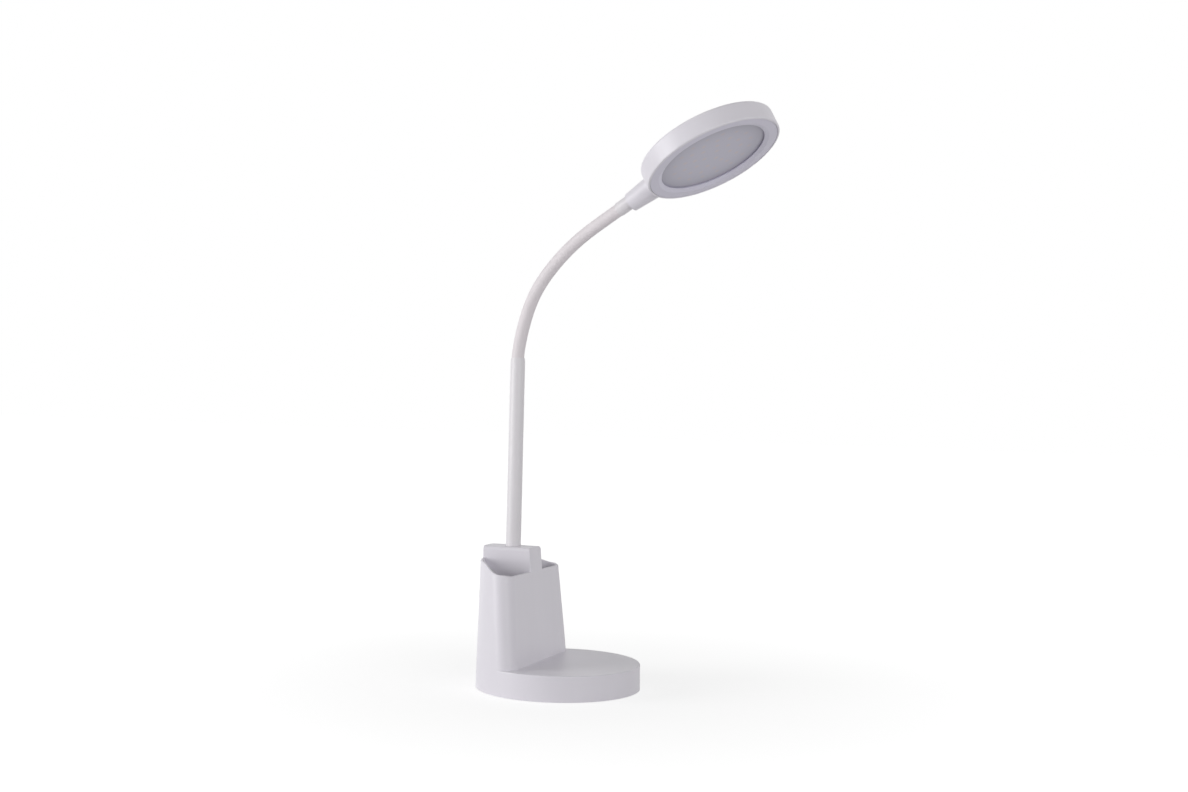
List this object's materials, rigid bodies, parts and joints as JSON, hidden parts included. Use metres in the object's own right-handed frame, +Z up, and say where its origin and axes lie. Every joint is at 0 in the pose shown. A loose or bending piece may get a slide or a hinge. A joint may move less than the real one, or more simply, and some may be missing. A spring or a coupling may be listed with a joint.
{
  "type": "desk lamp with pen cup base",
  "caption": "Desk lamp: round tray base with a D-shaped pen cup tower, rigid sleeve, flexible gooseneck and a round LED panel head",
  "frame": {"origin": "Centre of the round base's underside, on the surface it stands on", "axes": "+Z up, -Y towards the open tray in front, +Y towards the pen cup tower, X across the two cups"},
  "size_m": [0.1565, 0.2406, 0.4469],
  "materials": {
    "white_abs": "satin, fine moulded surface",
    "bezel_abs": "satin",
    "frosted_diffuser": "frosted",
    "neck_silicone": "soft matte",
    "sleeve_paint": "satin",
    "foot_foam": "matte",
    "steel": "zinc plated",
    "plate_steel": "raw rolled",
    "battery_foil": "foil",
    "circuit_board": "satin",
    "brass": "plain",
    "led_board": "white solder mask",
    "led_phosphor": "phosphor"
  },
  "bodies": {
    "base": {"base_shell": "white_abs", "bottom_cover": "white_abs", "foot_pad": "foot_foam", "base_screws": "steel", "counterweight": "plate_steel", "battery_pack": "battery_foil", "control_board": "circuit_board", "usb_socket": "steel", "touch_plate": "brass", "neck_sleeve": "sleeve_paint", "sleeve_washer": "steel", "sleeve_nut": "steel", "neck_root": "neck_silicone"},
    "neck_01": {"neck_link_01": "neck_silicone"},
    "neck_02": {"neck_link_02": "neck_silicone"},
    "neck_03": {"neck_link_03": "neck_silicone"},
    "neck_04": {"neck_link_04": "neck_silicone"},
    "neck_05": {"neck_link_05": "neck_silicone"},
    "neck_06": {"neck_link_06": "neck_silicone"},
    "neck_07": {"neck_link_07": "neck_silicone"},
    "neck_08": {"neck_link_08": "neck_silicone"},
    "neck_09": {"neck_link_09": "neck_silicone"},
    "neck_10": {"neck_link_10": "neck_silicone"},
    "neck_11": {"neck_link_11": "neck_silicone"},
    "head": {"neck_tip": "neck_silicone", "neck_ferrule": "white_abs", "head_nut": "steel", "head_shell": "white_abs", "bezel_ring": "bezel_abs", "diffuser": "frosted_diffuser", "reflector": "bezel_abs", "led_board": "led_board", "led_chips": "led_phosphor", "head_screws": "steel"}
  },
  "joints": [
    {"name": "neck_lower_sway", "type": "hinge", "parent": "base", "child": "neck_01", "pos_m": [0, 0.0412, 0.264], "axis": [0.2205, 0.9703, 0.0993], "range_deg": [-15, 15]},
    {"name": "neck_lower_bend", "type": "hinge", "parent": "neck_01", "child": "neck_02", "pos_m": [-0.00058, 0.03864, 0.27704], "axis": [0.9751, -0.2215, 0], "range_deg": [-15, 15]},
    {"name": "neck_sway_03", "type": "hinge", "parent": "neck_02", "child": "neck_03", "pos_m": [-0.00137, 0.03517, 0.28985], "axis": [0.2108, 0.9279, 0.3074], "range_deg": [-15, 15]},
    {"name": "neck_bend_04", "type": "hinge", "parent": "neck_03", "child": "neck_04", "pos_m": [-0.00239, 0.03067, 0.30233], "axis": [0.9751, -0.2215, 0], "range_deg": [-15, 15]},
    {"name": "neck_sway_05", "type": "hinge", "parent": "neck_04", "child": "neck_05", "pos_m": [-0.00379, 0.0245, 0.31403], "axis": [0.1863, 0.8201, 0.541], "range_deg": [-15, 15]},
    {"name": "neck_bend_06", "type": "hinge", "parent": "neck_05", "child": "neck_06", "pos_m": [-0.00557, 0.01668, 0.32464], "axis": [0.9751, -0.2215, 0], "range_deg": [-15, 15]},
    {"name": "neck_upper_sway", "type": "hinge", "parent": "neck_06", "child": "neck_07", "pos_m": [-0.00758, 0.00783, 0.33436], "axis": [0.1561, 0.6871, 0.7096], "range_deg": [-15, 15]},
    {"name": "neck_upper_bend", "type": "hinge", "parent": "neck_07", "child": "neck_08", "pos_m": [-0.00975, -0.00171, 0.34336], "axis": [0.9751, -0.2215, 0], "range_deg": [-15, 15]},
    {"name": "neck_sway_09", "type": "hinge", "parent": "neck_08", "child": "neck_09", "pos_m": [-0.01207, -0.01192, 0.35157], "axis": [0.1296, 0.5704, 0.8111], "range_deg": [-15, 15]},
    {"name": "neck_bend_10", "type": "hinge", "parent": "neck_09", "child": "neck_10", "pos_m": [-0.01453, -0.02273, 0.35891], "axis": [0.9751, -0.2215, 0], "range_deg": [-15, 15]},
    {"name": "neck_sway_11", "type": "hinge", "parent": "neck_10", "child": "neck_11", "pos_m": [-0.01707, -0.03394, 0.3656], "axis": [0.1106, 0.4868, 0.8665], "range_deg": [-15, 15]},
    {"name": "neck_bend_12", "type": "hinge", "parent": "neck_11", "child": "head", "pos_m": [-0.01963, -0.04521, 0.37219], "axis": [0.9751, -0.2215, 0], "range_deg": [-15, 15]}
  ],
  "couplings": [
    {"joint": "neck_sway_03", "follows": "neck_lower_sway", "ratio": 1},
    {"joint": "neck_bend_04", "follows": "neck_lower_bend", "ratio": 1},
    {"joint": "neck_sway_05", "follows": "neck_lower_sway", "ratio": 1},
    {"joint": "neck_bend_06", "follows": "neck_lower_bend", "ratio": 1},
    {"joint": "neck_sway_09", "follows": "neck_upper_sway", "ratio": 1},
    {"joint": "neck_bend_10", "follows": "neck_upper_bend", "ratio": 1},
    {"joint": "neck_sway_11", "follows": "neck_upper_sway", "ratio": 1},
    {"joint": "neck_bend_12", "follows": "neck_upper_bend", "ratio": 1}
  ]
}
